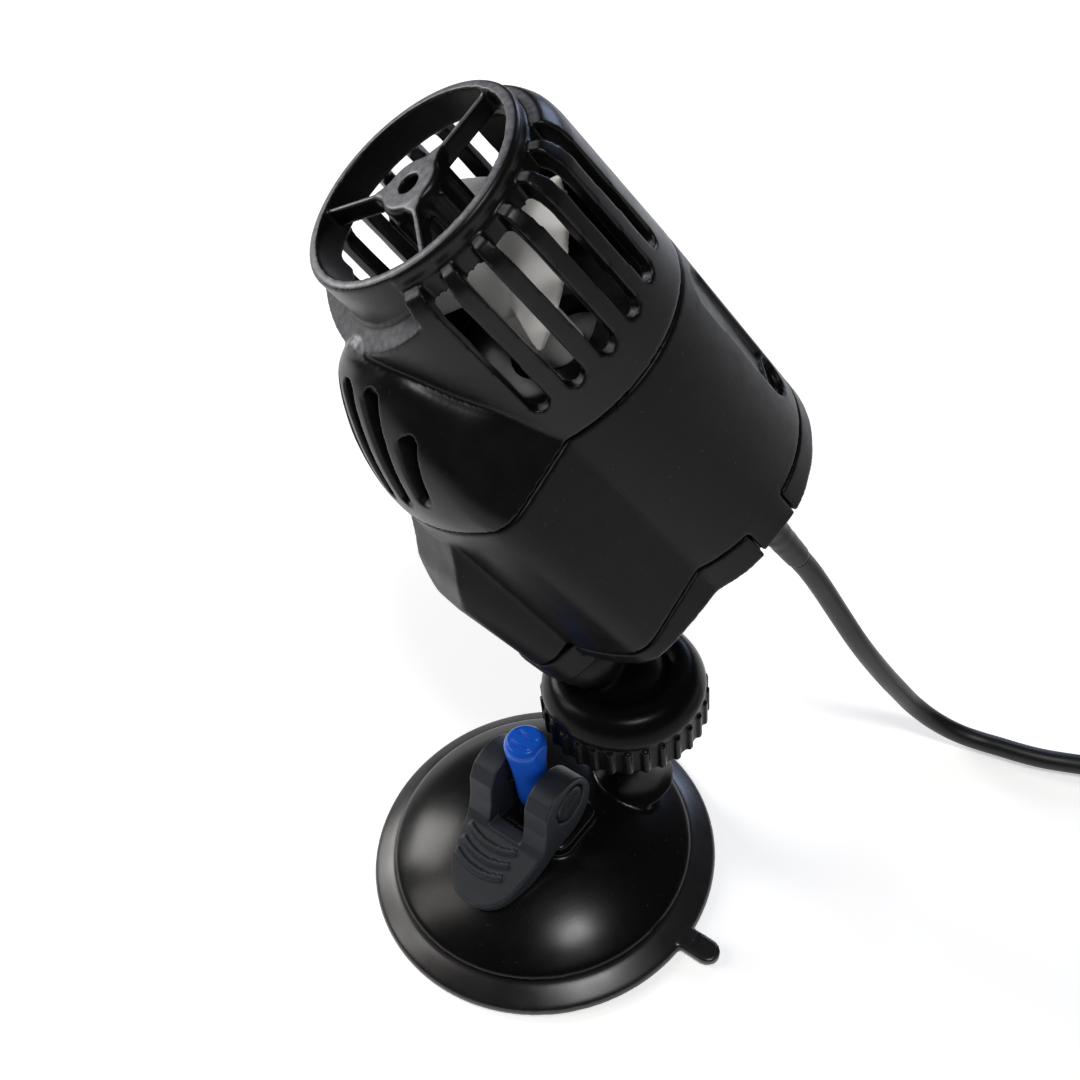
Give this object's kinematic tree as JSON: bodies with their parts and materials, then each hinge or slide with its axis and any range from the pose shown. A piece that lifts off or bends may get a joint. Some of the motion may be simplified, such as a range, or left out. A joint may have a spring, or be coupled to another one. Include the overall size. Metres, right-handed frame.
{
  "type": "wave maker pump",
  "caption": "Compact aquarium wave maker pump with a slotted intake cage, a spoked nozzle, a ball joint and a lever-locked suction cup.",
  "frame": {"origin": "centre of the suction cup, on the surface that it grips", "axes": "+Z away from that surface, +X towards the side where the cable lands, +Y across"},
  "size_m": [0.2461, 0.1082, 0.1625],
  "materials": {
    "black_plastic": "satin moulded",
    "base_plastic": "semi-gloss moulded",
    "lever_plastic": "satin moulded",
    "cup_rubber": "soft, slightly glossy",
    "blue_plastic": "glossy",
    "white_plastic": "glossy",
    "stainless": "fine turned",
    "pin_black": "satin",
    "ferrite": "ground",
    "core_steel": "stacked sheets",
    "copper_wire": "enamelled",
    "resin": "poured",
    "bearing_rubber": "smooth",
    "cord_pvc": "satin sheath",
    "pin_brass": "polished"
  },
  "bodies": {
    "base": {"rubber_cup": "cup_rubber", "dome": "base_plastic"},
    "rod": {"pull_rod": "blue_plastic", "pivot_pin": "pin_black"},
    "clamp_lever": {"lever": "lever_plastic"},
    "nut": {"collar_nut": "black_plastic"},
    "seat": {"ball_seat": "lever_plastic"},
    "ball": {"ball_stem": "black_plastic"},
    "pump": {"front_cage": "black_plastic", "front_bush": "bearing_rubber", "shaft": "stainless", "rotor_can": "white_plastic", "rear_bush": "bearing_rubber", "stator_core": "core_steel", "winding_left": "copper_wire", "winding_right": "copper_wire", "potting": "resin", "mid_housing": "black_plastic", "rear_cap": "black_plastic", "cable_gland": "cord_pvc", "cord_run": "cord_pvc", "cord_coil": "cord_pvc", "cord_tail": "cord_pvc", "cord_tie": "base_plastic", "plug_body": "cord_pvc", "plug_pin_1": "pin_brass", "plug_pin_2": "pin_brass"},
    "rotor": {"impeller": "white_plastic", "rotor_magnet": "ferrite"}
  },
  "joints": [
    {"name": "rod_drop", "type": "slide", "parent": "base", "child": "rod", "axis": [0, 0, -1], "range_m": [0, 0.003]},
    {"name": "lever_flip", "type": "hinge", "parent": "rod", "child": "clamp_lever", "pos_m": [0, 0, 0.027], "axis": [-0.7266, 0.6871, 0], "range_deg": [0, 90]},
    {"name": "nut_turn", "type": "hinge", "parent": "base", "child": "nut", "pos_m": [0.0213, 0.00905, 0.0441], "axis": [0, 0, 1], "range_deg": [0, 180]},
    {"name": "ball_swivel", "type": "hinge", "parent": "base", "child": "seat", "pos_m": [0.0213, 0.00905, 0.0441], "axis": [0, 0, 1], "range_deg": [-180, 180]},
    {"name": "ball_tilt", "type": "hinge", "parent": "seat", "child": "ball", "pos_m": [0.0213, 0.00905, 0.0441], "axis": [0.2019, -0.9794, 0], "range_deg": [-62, 2]},
    {"name": "pump_roll", "type": "hinge", "parent": "ball", "child": "pump", "pos_m": [0.0213, 0.00905, 0.0441], "axis": [-0.4956, -0.1022, 0.8625], "range_deg": [-45, 45]},
    {"name": "rotor_spin", "type": "hinge", "parent": "pump", "child": "rotor", "pos_m": [-0.00354, 0.01758, 0.15292], "axis": [-0.4956, -0.1022, 0.8625], "continuous": true}
  ],
  "couplings": [
    {"joint": "rod_drop", "follows": "lever_flip", "m_per_rad": 0.0019}
  ]
}
